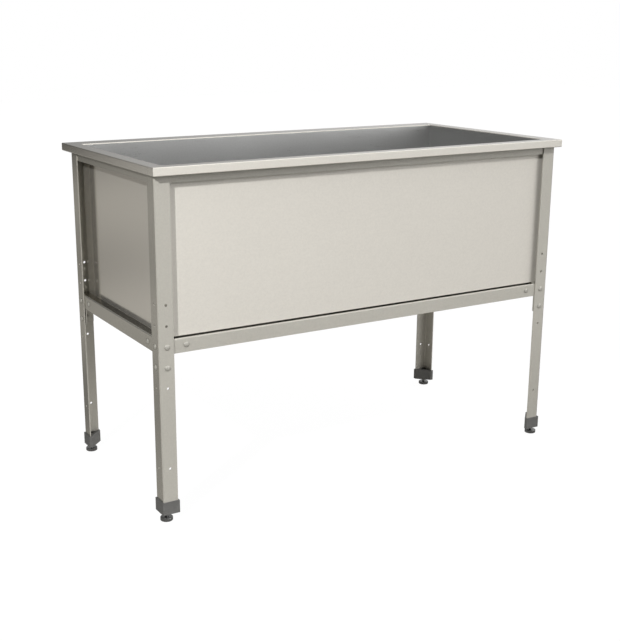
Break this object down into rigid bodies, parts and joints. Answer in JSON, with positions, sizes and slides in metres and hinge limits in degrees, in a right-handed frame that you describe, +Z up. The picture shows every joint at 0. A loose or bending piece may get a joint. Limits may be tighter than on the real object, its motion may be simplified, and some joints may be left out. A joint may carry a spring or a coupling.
{
  "type": "utility laundry sink",
  "caption": "Deep rectangular stainless wash basin with a folded rim on a bolted open angle frame, corner foot caps, screw feet, bottom waste and plug.",
  "frame": {"origin": "on the floor under the centre of the rim", "axes": "+Z up, +X along the length to the right seen from the front, -Y towards the front"},
  "size_m": [1.2, 0.6, 0.85],
  "materials": {
    "basin_sheet": "satin ground stainless sheet",
    "frame_angle": "satin stainless angle",
    "fasteners": "bright plated",
    "foot_cap": "dark grey moulded",
    "foot_pad": "black moulded",
    "waste_metal": "polished",
    "waste_plastic": "white moulded",
    "rubber": "matt black"
  },
  "bodies": {
    "sink": {"basin_floor": "basin_sheet", "basin_wall_back": "basin_sheet", "basin_wall_front": "basin_sheet", "basin_wall_left": "basin_sheet", "basin_wall_right": "basin_sheet", "bolts_back_left": "fasteners", "bolts_back_right": "fasteners", "bolts_front_left": "fasteners", "bolts_front_right": "fasteners", "corner_plate_back_left": "frame_angle", "corner_plate_back_right": "frame_angle", "corner_plate_front_left": "frame_angle", "corner_plate_front_right": "frame_angle", "foot_cap_back_left": "foot_cap", "foot_cap_back_right": "foot_cap", "foot_cap_front_left": "foot_cap", "foot_cap_front_right": "foot_cap", "foot_nut_back_left": "fasteners", "foot_nut_back_right": "fasteners", "foot_nut_front_left": "fasteners", "foot_nut_front_right": "fasteners", "leg_back_left": "frame_angle", "leg_back_right": "frame_angle", "leg_front_left": "frame_angle", "leg_front_right": "frame_angle", "lower_rail_back": "frame_angle", "lower_rail_front": "frame_angle", "lower_rail_left": "frame_angle", "lower_rail_right": "frame_angle", "nuts_back_left": "fasteners", "nuts_back_right": "fasteners", "nuts_front_left": "fasteners", "nuts_front_right": "fasteners", "spacers_back_left": "fasteners", "spacers_back_right": "fasteners", "spacers_front_left": "fasteners", "spacers_front_right": "fasteners", "top_rail_back": "frame_angle", "top_rail_front": "frame_angle", "top_rail_left": "frame_angle", "top_rail_right": "frame_angle", "waste_flange": "waste_metal", "waste_gasket": "rubber", "waste_grate": "waste_metal", "waste_nut": "waste_plastic"},
    "pad_front_left": {"foot_pad_front_left": "foot_pad"},
    "spindle_front_left": {"foot_spindle_front_left": "fasteners"},
    "pad_front_right": {"foot_pad_front_right": "foot_pad"},
    "spindle_front_right": {"foot_spindle_front_right": "fasteners"},
    "pad_back_right": {"foot_pad_back_right": "foot_pad"},
    "spindle_back_right": {"foot_spindle_back_right": "fasteners"},
    "pad_back_left": {"foot_pad_back_left": "foot_pad"},
    "spindle_back_left": {"foot_spindle_back_left": "fasteners"},
    "plug": {"drain_plug": "rubber"}
  },
  "joints": [
    {"name": "foot_height_front_left", "type": "slide", "parent": "sink", "child": "pad_front_left", "axis": [0, 0, 1], "range_m": [-0.012, 0.008]},
    {"name": "foot_screw_front_left", "type": "hinge", "parent": "pad_front_left", "child": "spindle_front_left", "pos_m": [-0.5793, -0.2698, 0], "axis": [0, 0, 1], "range_deg": [-3456, 2304]},
    {"name": "foot_height_front_right", "type": "slide", "parent": "sink", "child": "pad_front_right", "axis": [0, 0, 1], "range_m": [-0.012, 0.008]},
    {"name": "foot_screw_front_right", "type": "hinge", "parent": "pad_front_right", "child": "spindle_front_right", "pos_m": [0.5793, -0.2698, 0], "axis": [0, 0, 1], "range_deg": [-3456, 2304]},
    {"name": "foot_height_back_right", "type": "slide", "parent": "sink", "child": "pad_back_right", "axis": [0, 0, 1], "range_m": [-0.012, 0.008]},
    {"name": "foot_screw_back_right", "type": "hinge", "parent": "pad_back_right", "child": "spindle_back_right", "pos_m": [0.5793, 0.2413, 0], "axis": [0, 0, 1], "range_deg": [-3456, 2304]},
    {"name": "foot_height_back_left", "type": "slide", "parent": "sink", "child": "pad_back_left", "axis": [0, 0, 1], "range_m": [-0.012, 0.008]},
    {"name": "foot_screw_back_left", "type": "hinge", "parent": "pad_back_left", "child": "spindle_back_left", "pos_m": [-0.5793, 0.2413, 0], "axis": [0, 0, 1], "range_deg": [-3456, 2304]},
    {"name": "plug_lift", "type": "slide", "parent": "sink", "child": "plug", "axis": [0, 0, 1], "range_m": [0, 0.06]}
  ],
  "couplings": [
    {"joint": "foot_screw_front_left", "follows": "foot_height_front_left", "rad_per_m": 5026.5},
    {"joint": "foot_screw_front_right", "follows": "foot_height_front_right", "rad_per_m": 5026.5},
    {"joint": "foot_screw_back_right", "follows": "foot_height_back_right", "rad_per_m": 5026.5},
    {"joint": "foot_screw_back_left", "follows": "foot_height_back_left", "rad_per_m": 5026.5}
  ]
}
